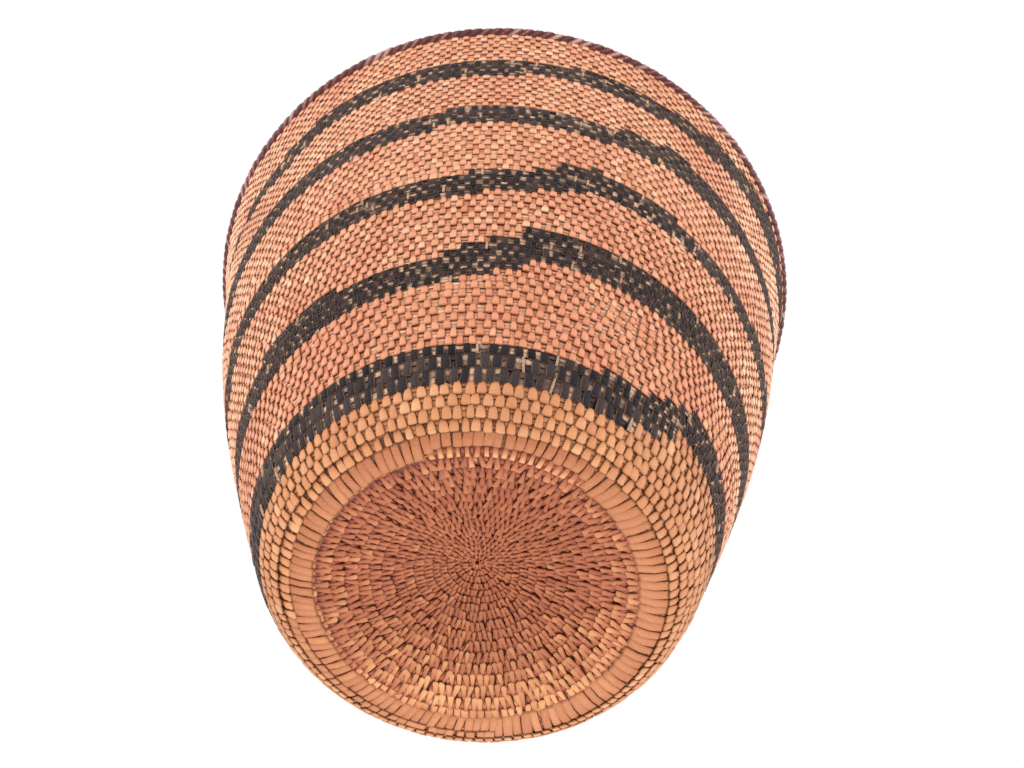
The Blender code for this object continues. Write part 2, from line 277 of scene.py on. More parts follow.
@dataclass(frozen=True)
class SplintFinish:
    """Split plant fibre, flattened and stitched over a coil: dry with a slight gloss.

    The weave attribute of a piece holds: red, the stitch's tone, its own with painted light
    and shade added in places; green, how far down the point lies between stitches, which
    sets the share of the gap colour, painted shade in gaps and grooves and the pale sides
    of the dyed splint; blue, the place across the splint; alpha, how far the point is along
    it. Colours are sRGB hex.
    """

    name: str
    dark: str
    body: str
    pale: str
    deep: str
    patch: str
    roughness: float = 0.52
    streak: float = 0.35
    patch_size: float = 34.0 * MM
    patch_share: float = 0.6
    gloss: float = 0.4
    grain_shift: float = 57.0
    grain_stretch: float = 0.5
    grain_scale: float = 5.0

    def material(self) -> Material:
        """Build the node material.

        Returns:
            A material whose colour varies by stitch, by patch and along the grain.
        """
        material = bpy.data.materials.new(self.name)
        material.use_nodes = True
        tree = material.node_tree
        node = partial(add_node, tree)
        shader = tree.nodes["Principled BSDF"]

        def remapped(value: Socket, low: float, high: float, to_low: float,
                     to_high: float) -> Socket:
            """Value moved from the range low to high into the other range."""
            return node("MapRange", {
                "Value": value, "From Min": low, "From Max": high, "To Min": to_low,
                "To Max": to_high}).outputs[0]

        weave = node("Attribute", attribute_name=WEAVE)
        parts = node("SeparateColor", {0: weave.outputs["Color"]})
        tone, depth, across = (parts.outputs[index] for index in range(3))
        ramp = node("ValToRGB", {0: tone})
        stops = ramp.color_ramp.elements
        stops[0].color = linear(self.dark)
        stops[1].color = linear(self.pale)
        stops.new(0.5).color = linear(self.body)

        place = node("TexCoord")
        patches = node("TexNoise", {
            "Vector": place.outputs["Object"], "Scale": 1.0 / self.patch_size,
            "Detail": 2.0, "Roughness": 0.5})
        share = remapped(patches.outputs["Fac"], 0.45, 0.65, 0.0, self.patch_share)
        patched = node("Mix", {
            0: share, 6: ramp.outputs["Color"], 7: linear(self.patch)}, data_type="RGBA")

        # Grain: noise that is fine across the splint and long along it
        shift = combined(tree, "MULTIPLY", tone, self.grain_shift)
        cross = combined(tree, "ADD", across, shift)
        along = combined(tree, "MULTIPLY", weave.outputs["Alpha"], self.grain_stretch)
        grain_place = node("CombineXYZ", {0: cross, 1: along})
        grain = node("TexNoise", {
            "Vector": grain_place.outputs[0], "Scale": self.grain_scale, "Detail": 3.0,
            "Roughness": 0.6}).outputs["Fac"]
        strength = remapped(grain, 0.3, 0.7, 1.0 - self.streak, 1.0 + self.streak * 0.45)
        grained = node("VectorMath", {0: patched.outputs[2], "Scale": strength},
                       operation="SCALE")
        # Painted shade: the gap colour is mixed in by the green weave value; on the dyed
        # splint that colour is its pale sides
        sunk = node("Mix", {0: depth, 6: grained.outputs[0], 7: linear(self.deep)},
                    data_type="RGBA")
        rough = remapped(grain, 0.3, 0.7, self.roughness - 0.1, self.roughness + 0.1)
        bump = node("Bump", {"Height": grain, "Strength": 0.25, "Distance": 0.1 * MM})
        tree.links.new(sunk.outputs[2], shader.inputs["Base Color"])
        tree.links.new(rough, shader.inputs["Roughness"])
        tree.links.new(bump.outputs[0], shader.inputs["Normal"])
        shader.inputs["Specular IOR Level"].default_value = self.gloss
        return material


# Undyed splint: peach orange, paler where it is worn and where a highlight is painted, with
# painted maroon shade in the gaps
NATURAL_SPLINT = SplintFinish("undyed_split_fibre_stitched", "CE8058", "E59C74", "FFCCA4",
                              "5C2416", "DA8A66")
# The first courses have been rubbed by standing and are more golden
GOLDEN_SPLINT = SplintFinish("undyed_split_fibre_rubbed", "B06A42", "CF8A5A", "EDB484",
                             "431A0A", "C07C50")
# Base: redder and duller in the middle, darkened there by age and by painted shade of the
# recess
BASE_SPLINT = SplintFinish("aged_split_fibre_base", "8E4A34", "B46B48", "EAAA74",
                           "4A1A0E", "9C563A", patch_share=0.4, roughness=0.42,
                           gloss=0.25)
# Dyed splint: charcoal with pale scraped sides
DYED_SPLINT = SplintFinish("dyed_split_fibre_charcoal", "161113", "332A2D", "D8B294",
                           "B8927A", "2A2124", patch_share=0.3, roughness=0.6,
                           streak=0.85, gloss=0.15)
# Weft strips in the dark stripes: some took the dye, some stayed brown; near-black painted
# shade in the gaps
DYED_WEFT = SplintFinish("half_dyed_split_fibre_weft", "1E1718", "6E5246", "F6C6A0",
                         "161012", "4A3934", patch_share=0.3, roughness=0.5, streak=0.6)
# Lashing: glossy maroon strip wound slantwise, with painted shade in its grooves and a
# painted highlight along each wrap's crest
MAROON_LASHING = SplintFinish("maroon_strip_lashing", "511C1B", "78332E", "D9A698",
                              "260A0C", "64231F", roughness=0.38, streak=0.35)


@dataclass(frozen=True)
class Meridian:
    """A curve of (radius, height) read by length; distance is square to it.

    The curve travels from the axis outwards. Distance is positive to the right of the
    travel where side is 1, and to its left where side is -1.
    """

    points: Array
    lengths: Array
    normals: Array
    side: float

    @classmethod
    def through(cls, points: Array, start: float, side: float = 1.0) -> "Meridian":
        """Measure the lengths and the smooth normals of a curve.

        Args:
            points: Points of the curve, of shape (n, 2).
            start: Length at its first point.
            side: Which side of it is positive.

        Returns:
            The curve without repeated points.
        """
        steps = np.hypot(*np.diff(points, axis=0).T)
        points = points[np.concatenate([[True], steps > 0.0])]
        steps = np.hypot(*np.diff(points, axis=0).T)
        lengths = start + np.concatenate([[0.0], np.cumsum(steps)])
        along = np.gradient(points, lengths, axis=0)
        along /= np.hypot(*along.T)[:, None]
        return cls(points, lengths, side * np.stack([along[:, 1], -along[:, 0]], axis=1),
                   side)

    def inner(self, wall: float) -> "Meridian":
        """The other face of the wall, read by the same lengths.

        Args:
            wall: Thickness of the wall.

        Returns:
            A curve set in by the wall, whose positive side faces the other way.
        """
        points = self.points - self.normals * wall
        points[:, 0] = np.maximum(points[:, 0], 0.0)
        return Meridian(points, self.lengths, -self.normals, -self.side)

    @property
    def end(self) -> float:
        """Length at the far end."""
        return float(self.lengths[-1])

    def radius(self, length: Array) -> Array:
        """Radius at a length."""
        return np.interp(length, self.lengths, self.points[:, 0])

    def place(self, length: Array, distance: Array, azimuth: Array) -> Array:
        """Points in space: the curve's point plus distance along its normal, turned.

        Args:
            length: Lengths along the curve.
            distance: Distances square to the curve.
            azimuth: Azimuths in degrees.

        Returns:
            Array with a last axis of x, y and z.
        """
        radius, height = (
            np.interp(length, self.lengths, point)
            + np.interp(length, self.lengths, normal) * distance
            for point, normal in zip(self.points.T, self.normals.T))
        return turned(radius, height, np.radians(azimuth))


@dataclass(frozen=True)
class BasketForm:
    """Driving sizes of the basket, the same as those of its solids."""

    base_recess: float = 16.4 * MM
    start_coil_radius: float = 7.5 * MM
    standing_radius: float = 50.0 * MM
    standing_flat: float = 4.0 * MM
    foot_radius: float = 69.4 * MM
    foot_height: float = 19.6 * MM
    mouth_radius: float = 116.0 * MM
    mouth_height: float = 190.0 * MM
    wall: float = 3.6 * MM
    base_middle_handle: float = 0.2
    base_edge_handle: float = 0.13
    turn_handle: float = 0.12
    wall_lower_handles: tuple[float, float] = (0.837, 0.627)
    wall_upper_handles: tuple[float, float] = (0.375, 0.420)
    rim_inset: float = 0.7 * MM
    rim_rise: float = 1.6 * MM
    rim_half_width: float = 2.9 * MM
    rim_half_height: float = 2.0 * MM

    def outer_face(self) -> Meridian:
        """Outer face from the middle of the base to the mouth.

        Returns:
            The curve, with length 0 at the inner edge of the standing ring.
        """
        ring = self.standing_radius
        base = bezier([(0.0, self.base_recess),
                       (ring * self.base_middle_handle, self.base_recess),
                       (ring * (1.0 - self.base_edge_handle), 0.0), (ring, 0.0)])
        foot = np.array([self.foot_radius, self.foot_height])
        mouth = np.array([self.mouth_radius, self.mouth_height])
        lower = foot + (mouth - foot) * self.wall_lower_handles
        upper = mouth - (mouth - foot) * self.wall_upper_handles
        run, rise = lower - foot
        turn_height = self.foot_height * self.turn_handle
        turn_radius = self.foot_radius - run / rise * (self.foot_height - turn_height)
        turn = bezier([(ring + self.standing_flat, 0.0), (turn_radius, turn_height), foot])
        wall = bezier([foot, lower, upper, mouth])
        base_length = float(np.hypot(*np.diff(base, axis=0).T).sum())
        return Meridian.through(np.concatenate([base, turn, wall]), -base_length)


@dataclass(frozen=True)
class CoilRows:
    """How the rows of one coil lie along a meridian.

    turns and lengths give, at the azimuth datum, the lower edge of some of the rows;
    between them rows are even. counts gives the number of stitches in a turn at
    some turns. Where it holds steady, its odd half staggers each row on the last.
    The part of the first turn called untied has no stitches.
    """

    turns: tuple[float, ...]
    lengths: tuple[float, ...]
    count_turns: tuple[float, ...]
    counts: tuple[float, ...]
    untied: float = 0.0
    datum: float = 260.0
    samples: int = 20001

    def length(self, turn: Array) -> Array:
        """Length of the coil's lower edge at a turn number."""
        return np.interp(turn, self.turns, self.lengths)

    def between(self, start: Array, end: Array) -> int:
        """Most rows between two edges, given as lengths at the same azimuths."""
        low, high = (np.interp(edge, self.lengths, self.turns) for edge in (start, end))
        return round(float((high - low).max()))

    def stitch_turns(self) -> tuple[Array, Array]:
        """Turn number of every stitch along the whole coil, and stitches in its turn.

        Returns:
            Two arrays, one value for each stitch.
        """
        fine = np.linspace(self.turns[0], self.turns[-1], self.samples)
        counts = np.interp(fine, self.count_turns, self.counts)
        steps = 0.5 * (counts[1:] + counts[:-1]) * np.diff(fine)
        made = np.concatenate([[0.0], np.cumsum(steps)])
        turns = np.interp(np.arange(int(made[-1])) + 0.5, made, fine)
        return turns, np.interp(turns, self.count_turns, self.counts)


@dataclass(frozen=True)
class StripeEdge:
    """One edge of a dark stripe: level runs and steps, read between its knots."""

    azimuths: tuple[float, ...]
    lengths: tuple[float, ...]

    def at(self, azimuth: Array) -> Array:
        """Length of the edge, even from knot to knot and closed round the basket.

        Args:
            azimuth: Azimuths in degrees.

        Returns:
            Lengths in metres.
        """
        around = (np.asarray(azimuth) - self.azimuths[0]) % 360.0 + self.azimuths[0]
        knots = self.azimuths + (self.azimuths[0] + 360.0,)
        lengths = np.array(self.lengths + (self.lengths[0],)) * MM
        return np.interp(around, knots, lengths)


# Edges in millimetres up the outer face, from the left of the front round to the back
STRIPES = (
    (StripeEdge((165, 200, 285, 307, 309, 317, 319, 326, 345, 395, 480),
                (19.5, 20.4, 21, 22, 27.5, 29, 36, 39, 38.5, 38, 20)),
     StripeEdge((165, 200, 280, 300, 309, 313, 319, 326, 345, 395, 480),
                (32.5, 34, 34.4, 36.5, 39.5, 44, 48, 52, 51, 50, 33))),
    (StripeEdge((165, 200, 215, 250, 257, 266, 268, 272, 273, 300, 340, 395, 480),
                (58, 58.5, 60.5, 59, 60.5, 62.5, 64, 64.5, 69, 72, 72.5, 73, 58)),
     StripeEdge((165, 200, 215, 256, 257, 264, 266, 272, 273, 300, 340, 395, 480),
                (68, 70, 73, 70, 74.5, 75.5, 79, 80, 84.5, 84, 85, 86, 69))),
    (StripeEdge((165, 190, 200, 255, 272, 273, 279, 280, 289, 320, 350, 395, 480),
                (93, 94, 99, 100, 102, 104.5, 105.5, 107.5, 110.5, 109.5, 112, 111, 94)),
     StripeEdge((165, 190, 200, 255, 272, 273, 277, 278, 287, 288, 320, 350, 395, 480),
                (107.5, 108, 110, 110.5, 113.5, 116, 117.5, 121, 124, 122, 118.5, 124,
                 122, 108))),
    (StripeEdge((165, 195, 210, 235, 285, 293, 304, 340, 395, 480),
                (135.5, 136, 138.5, 138, 143, 144.5, 149, 150, 150, 136)),
     StripeEdge((165, 195, 235, 262, 289, 290, 296, 298, 303, 310, 340, 395, 480),
                (151, 151.5, 149, 152.5, 153, 157, 158, 161.5, 163.5, 160, 160.5, 160,
                 151))),
    (StripeEdge((165, 200, 215, 226, 227, 260, 285, 304, 318, 325, 345, 395, 480),
                (183, 175, 171, 172, 175, 176, 178.5, 181, 184.5, 188, 188, 188, 184)),
     StripeEdge((165, 200, 215, 226, 260, 285, 304, 308, 310, 318, 325, 345, 395, 480),
                (186, 179, 180.5, 185.5, 186.5, 189, 191.5, 194, 197, 198.5, 203, 205,
                 204, 187))),
)


@dataclass(frozen=True)
class StitchShape:
    """Shape of one kind of stitch, as shares of its spacing and of its row."""

    width: float = 0.62
    reach: float = 1.12
    foot_taper: float = 0.72
    head_taper: float = 0.72
    thickness: float = 0.55 * MM
    lift: float = 0.35 * MM
    dive: float = 0.75 * MM
    arch: float = 0.25 * MM
    slant: float = 0.0
    point: float = 4.0
    tilt: float = 0.2 * MM
    jitter: float = 0.06
    ragged: float = 0.35
    stray: float = 0.025
    sunk: float = 0.38 * MM


# Lengths at which the base's pointed stitches give way to its hem, the hem to the
# standing ring, and so on to the foot, the lowest stripe, the lower and the upper wall
HEM, RING, FOOT, STRIPE, LOWER_WALL, UPPER_WALL = (
    MM * length for length in (-2.6, 1.5, 6.9, 20.4, 34.0, 110.0))
BASKET_STITCHES = (
    StitchShape(width=0.96, reach=1.42, foot_taper=0.5, head_taper=0.3, lift=-0.05 * MM,
                dive=0.25 * MM, arch=0.14 * MM, point=1.5, thickness=0.45 * MM,
                tilt=0.32 * MM, jitter=0.12, ragged=0.9, stray=0.08),
    StitchShape(width=0.66, reach=1.05, foot_taper=0.9, head_taper=0.9, lift=-0.05 * MM,
                arch=0.1 * MM, dive=0.2 * MM, tilt=0.0),
    StitchShape(width=1.02, reach=1.04, foot_taper=0.7, head_taper=0.9, lift=0.05 * MM,
                dive=0.3 * MM, arch=0.2 * MM, slant=0.08, tilt=0.05 * MM),
    StitchShape(width=0.9, reach=1.3, foot_taper=0.72, head_taper=0.42, lift=0.05 * MM,
                arch=0.2 * MM, dive=0.45 * MM, tilt=0.28 * MM, point=2.2),
    StitchShape(width=0.72, reach=1.2, foot_taper=0.85, head_taper=0.7, lift=0.05 * MM,
                arch=0.12 * MM, dive=0.35 * MM, tilt=0.15 * MM),
    StitchShape(width=0.62, reach=1.22, foot_taper=0.85, head_taper=0.6,
                lift=-0.05 * MM, arch=0.12 * MM, dive=0.3 * MM, tilt=0.18 * MM,
                point=2.5),
    StitchShape(width=0.64, reach=1.2, foot_taper=0.9, head_taper=0.7, lift=-0.1 * MM,
                arch=0.1 * MM, dive=0.25 * MM, tilt=0.12 * MM, point=3.0,
                sunk=0.28 * MM))
# A stitch starts this far before the lashed end of a face or more, and reaches no
# further past it than this
END_ROOM = 0.8 * MM
END_REACH = 0.4 * MM
# Weft strips: their middles and height as shares of the row, and their mean tone
STRIP_MIDDLES = (0.27, 0.74)
STRIP_HEIGHT = 0.41
STRIP_TONE = 0.62
# Width of a filler as a share of the spacing
FILLER_WIDTH = 0.66
# Below this radius a stitch takes up no more degrees
LEAST_RADIUS = 1.0 * MM
LID_STITCH = StitchShape(width=0.62, reach=1.2, foot_taper=0.85, head_taper=0.65,
                         lift=0.15 * MM, arch=0.15 * MM, dive=0.45 * MM)


def shape_values(kinds: tuple[StitchShape, ...], index: Array) -> dict:
    """Arrays of shape values by name, each stitch with those of its own kind."""
    return {value.name: np.array([getattr(kind, value.name) for kind in kinds])[index]
            for value in fields(StitchShape)}


def joined(*parts: MeshArrays) -> MeshArrays:
    """Several meshes in one.

    Args:
        *parts: Points, quads and weave values of each.

    Returns:
        The same in one row, with the quads' point numbers moved on.
    """
    starts = np.cumsum([0] + [len(points) for points, _, _ in parts[:-1]])
    return (np.concatenate([points for points, _, _ in parts]),
            np.concatenate([quads + start for (_, quads, _), start in zip(parts, starts)]),
            np.concatenate([weave for _, _, weave in parts]))


@dataclass
class StitchSet:
    """Stitches of one coil on one meridian, as whole arrays.

    course is the length of each stitch's middle before small differences move it.
    """

    face: Meridian
    turns: Array
    course: Array
    azimuth: Array
    low: Array
    high: Array
    spacing: Array
    tone: Array
    shape: dict[str, Array]
    stations: tuple[float, ...] = (-1.0, -0.78, 0.0, 0.72, 1.0)
    end_shade: float = 0.5
    wear: float = 0.14
    section: tuple[tuple[float, float], ...] = (
        (-0.5, 0.0), (-0.40, 0.9), (0.40, 0.9), (0.5, 0.0), (0.3, -0.7), (-0.3, -0.7))

    @classmethod
    def along(cls, face: Meridian, rows: CoilRows, kinds: tuple[StitchShape, ...],
              edges: tuple[float, ...], seed: Seed) -> "StitchSet":
        """Stitches of a whole coil, each a little off its even place.

        The last turn runs out under the lashing at the end of the face.

        Args:
            face: Meridian that the stitches lie on.
            rows: Rows of the coil.
            kinds: Kinds of stitch in their order along the meridian.
            edges: Lengths at which one kind gives way to the next.
            seed: Seed of the small differences.

        Returns:
            The set of stitches.
        """
        turns, counts = rows.stitch_turns()
        kept = rows.length(turns) < face.end - END_ROOM
        kept &= turns > rows.turns[0] + rows.untied
        turns, counts = turns[kept], counts[kept]
        low, high = rows.length(turns), rows.length(turns + 1.0)
        course = 0.5 * (low + np.minimum(high, 0.999 * face.end))
        shape = shape_values(kinds, np.searchsorted(edges, course))
        spacing = TURN * face.radius(0.5 * (low + high)) / counts
        normal = draws(seed, len(turns))
        azimuth = rows.datum + 360.0 * turns + (
            normal(1.0) * shape["jitter"] * 360.0 / counts)
        shape["width"] = shape["width"] * (1.0 + normal(0.09))
        shape["reach"] = shape["reach"] * (1.0 + normal(0.05))
        shape["lift"] = shape["lift"] + normal(0.06 * MM)
        shape["slant"] = shape["slant"] + normal(0.16) * shape["ragged"]
        shift = (high - low) * normal(1.0) * shape["stray"]
        tone = np.clip(0.5 + normal(0.13), 0.0, 1.0)
        return cls(face, turns, course, azimuth, low + shift,
                   np.minimum(high + shift, face.end + END_REACH), spacing, tone, shape)

    def take(self, chosen: Array) -> "StitchSet":
        """Only the chosen stitches.

        Args:
            chosen: Truth values or numbers of stitches.

        Returns:
            A smaller set.
        """
        parts = {name: getattr(self, name)[chosen] for name in
                 ("turns", "course", "azimuth", "low", "high", "spacing", "tone")}
        shape = {name: value[chosen] for name, value in self.shape.items()}
        return replace(self, **parts, shape=shape)

    def reshaped(self, **values: float | Array) -> dict[str, Array]:
        """The shape values with some of them changed, for all or for each stitch."""
        changed = {name: np.broadcast_to(value, self.tone.shape)
                   for name, value in values.items()}
        return {**self.shape, **changed}

    def half_step(self) -> Array:
        """Degrees from each stitch to the gap beside it."""
        radius = self.face.radius(0.5 * (self.low + self.high))
        return 0.5 * np.degrees(self.spacing / radius)

    def fillers(self, seed: Seed) -> "StitchSet":
        """Lower stitches that fill the notches between pointed ones, widest at the head.

        Args:
            seed: Seed of the small differences.

        Returns:
            One filler beside each stitch.
        """
        normal = draws(seed, len(self.tone))
        width = FILLER_WIDTH * (1.0 + normal(0.25))
        tone = np.clip(self.tone + (normal(0.12) - 0.1), 0.0, 1.0)
        shape = self.reshaped(width=width, foot_taper=0.3, head_taper=0.9, reach=0.9,
                              tilt=-0.1 * MM, lift=self.shape["lift"] - 0.3 * MM)
        return replace(self, azimuth=self.azimuth + self.half_step(), tone=tone,
                       shape=shape, stations=(-1.0, 0.2, 1.0))

    def strips(self, seed: Seed) -> list["StitchSet"]:
        """The two thin weft strips that show between each stitch and the next one.

        Args:
            seed: Seed of the small differences.

        Returns:
            The lower and the upper strips, as short and wide plates.
        """
        normal = draws(seed, len(self.tone))
        rise = self.high - self.low
        azimuth = self.azimuth + self.half_step()
        sets = []
        for place in STRIP_MIDDLES:
            middle = self.low + rise * (place + normal(0.025))
            half = 0.5 * rise * (STRIP_HEIGHT + normal(0.03))
            shape = self.reshaped(
                width=1.02, reach=1.0, foot_taper=1.0, head_taper=1.0, point=1.0,
                thickness=0.5 * MM, arch=0.0, dive=0.0,
                lift=self.shape["lift"] - self.shape["sunk"] + normal(0.05 * MM),
                tilt=normal(0.03 * MM), slant=normal(0.1))
            sets.append(replace(
                self, azimuth=azimuth, low=middle - half, high=middle + half, shape=shape,
                tone=np.clip(STRIP_TONE + normal(0.24), 0.0, 1.0), stations=(-1.0, 1.0),
                end_shade=0.12, wear=0.0,
                section=((-0.5, -0.5), (-0.5, 0.5), (0.5, 0.5), (0.5, -0.5))))
        return sets

    def mesh_arrays(self) -> MeshArrays:
        """Mesh of all the stitches.

        A stitch is a flat tube along the meridian with a rounded plate as section.
        It narrows towards its head by a power of the way along, dives under the face
        at both ends, arches a little between, and its foot stands prouder.

        Returns:
            Points, quads and weave values.
        """
        shape = {name: value[:, None] for name, value in self.shape.items()}
        stations = np.array(self.stations)
        section = np.array(self.section)
        middle = 0.5 * (self.low + self.high)
        half = (0.5 * (self.high - self.low))[:, None] * shape["reach"]
        t = stations[None, :]
        length = middle[:, None] + half * t
        rise = np.clip(0.5 * (t + 1.0), 0.0, 1.0) ** shape["point"]
        foot = shape["foot_taper"]
        ends = (foot + (1.0 - foot) * np.clip((t + 1.0) / 0.22, 0.0, 1.0)) * (
            1.0 + (shape["head_taper"] - 1.0) * rise)
        width = self.spacing[:, None] * shape["width"] * ends
        thick = shape["thickness"] * (1.0 - 0.25 * np.abs(t) ** 4)
        sink = np.clip((np.where(t < 0.0, -0.75, 1.0) * t - 0.6) / 0.4, 0.0, None)
        lift = (shape["lift"] + shape["arch"] * (1.0 - t ** 2) - shape["tilt"] * t
                - shape["dive"] * sink)
        lean = shape["slant"] * half * t
        radius = np.maximum(self.face.radius(length), LEAST_RADIUS)
        azimuth = self.azimuth[:, None, None] + np.degrees(
            (width[:, :, None] * section[:, 0] + lean[:, :, None]) / radius[:, :, None])
        distance = lift[:, :, None] + thick[:, :, None] * section[:, 1]
        lengths = np.broadcast_to(length[:, :, None], distance.shape)
        points = self.face.place(lengths, distance, azimuth)

        count, rings, sides = distance.shape
        last = (rings - 1) * sides
        ring = np.arange(last)
        following = np.where(ring % sides == sides - 1, ring + 1 - sides, ring + 1)
        tube = np.stack([ring, following, following + sides, ring + sides], axis=1)
        pair = np.arange(sides // 2 - 1)
        cap = np.stack([pair, pair + 1, sides - 2 - pair, sides - 1 - pair], axis=1)
        one = np.concatenate([tube, cap[:, ::-1], cap + last])
        if self.face.side < 0:
            one = one[:, ::-1]
        quads = one[None] + (np.arange(count) * sides * rings)[:, None, None]

        weave = np.zeros((count, rings, sides, 4))
        # Painted highlight on the proud foot and painted shade at the diving head, partly
        # worn paleness too: the tone falls from foot to head
        worn = self.tone[:, None] - self.wear * t
        weave[..., 0] = np.clip(worn, 0.0, 1.0)[:, :, None]
        # Share of the gap colour: painted shade on a stitch's sides, underside and diving
        # ends; on the dyed splint, its pale sides and ends instead
        side_shade_and_tint = np.interp(section[:, 1], (-0.1, 0.0, 0.45), (1.0, 0.6, 0.0))
        end_shade_and_tint = np.clip((np.abs(stations) - 0.75) / 0.25, 0.0, 1.0) * self.end_shade
        weave[..., 1] = np.maximum(side_shade_and_tint[None, None, :], end_shade_and_tint[None, :, None])
        weave[..., 2] = section[:, 0]
        weave[..., 3] = (length - middle[:, None])[:, :, None] / MM
        return points.reshape(-1, 3), quads.reshape(-1, 4), weave.reshape(-1, 4)


@dataclass(frozen=True)
class Core:
    """The coil's own core: a plain backing under the stitches, painted dark as the shade
    between them.
    """

    face: Meridian
    rows: CoilRows
    wall: float
    depth: float = 0.7 * MM
    stitch_room: float = 1.5 * MM
    columns: int = 200
    tone: float = 0.3
    inner_shade: float = 0.3
    outer_shade: float = 0.82

    @property
    def azimuth(self) -> Array:
        """Azimuths of its sections."""
        return np.linspace(0.0, 360.0, self.columns, endpoint=False)

    def mesh_arrays(self, start: Array, end: Array) -> MeshArrays:
        """Ring of backing: closed sections between two edges, carried round the axis.

        The outer side runs from start to end at one depth under the face; the inner
        side runs back, less than the wall's thickness further in.

        Args:
            start: Length of the lower edge at each azimuth.
            end: Length of the upper edge at each azimuth.

        Returns:
            Points, quads and weave values.
        """
        thickness = self.wall - self.stitch_room
        steps = max(4, self.rows.between(start, end))
        share = np.concatenate([np.linspace(0.0, 1.0, steps + 1),
                                np.linspace(1.0, 0.0, max(3, steps // 2))])
        lengths = start[:, None] + (end - start)[:, None] * share
        inside = np.arange(len(share)) > steps
        distances = np.where(inside, -self.depth - thickness, -self.depth)
        azimuth = self.azimuth[:, None]
        # Painted shade: a dark tone mixed mostly into the gap colour, more on the outer
        # side that shows between stitches
        shade = np.where(inside, self.inner_shade, self.outer_shade)
        points, quads, weave = closed_mesh(
            self.face.place(lengths, distances, azimuth),
            [self.tone, shade, lengths / MM, azimuth * 0.1],
            poles=start[0] <= self.face.lengths[0])
        return points, quads if self.face.side > 0 else quads[:, ::-1], weave


@dataclass(frozen=True)
class Lashing:
    """A rod wound with slanted strips, closed into a ring.

    The surface is a torus whose section radius falls in a narrow groove between two
    wraps: one minus a share of a sharpened cosine of (wraps x azimuth + slant).
    """

    radius: float
    height: float
    half_width: float
    half_height: float
    wraps: int
    groove: float = 0.12
    slant: float = 2.2
    stations: int = 8
    sides: int = 18
    wave: float = 0.25 * MM

    def mesh_arrays(self, seed: Seed) -> MeshArrays:
        """Mesh of the lashing.

        Args:
            seed: Seed of the strips' tones.

        Returns:
            Points, quads and weave values.
        """
        steps = self.wraps * self.stations
        around = np.arange(steps)[:, None] * TURN / steps
        section = np.arange(self.sides)[None, :] * TURN / self.sides
        phase = self.wraps * around + self.slant * TURN * np.sin(section * 0.5) ** 2
        dip = (0.5 + 0.5 * np.cos(phase)) ** 3
        normal = draws(seed, self.wraps)
        wrap = np.floor(phase / TURN).astype(int) % self.wraps
        tones = np.clip(0.45 + normal(0.2), 0.0, 1.0)
        size = (1.0 - self.groove * dip) * (1.0 + normal(0.02)[wrap])
        lift = self.wave * (np.sin(3.0 * around + 1.0) + 0.6 * np.sin(7.0 * around))
        radius = self.radius + self.half_width * size * np.cos(section)
        height = self.height + lift * 0.5 + self.half_height * size * np.sin(section)
        # Painted highlight along the crest of each wrap
        crest_highlight = (0.5 - 0.5 * np.cos(phase)) ** 6
        tone = np.clip(tones[wrap] + 0.4 * crest_highlight - 0.1, 0.0, 1.0)
        # Painted shade: the groove share, as the green weave value, mixes in the dark gap
        # colour
        return closed_mesh(turned(radius, height, around),
                           [tone, dip, phase / TURN, section * 2.0])


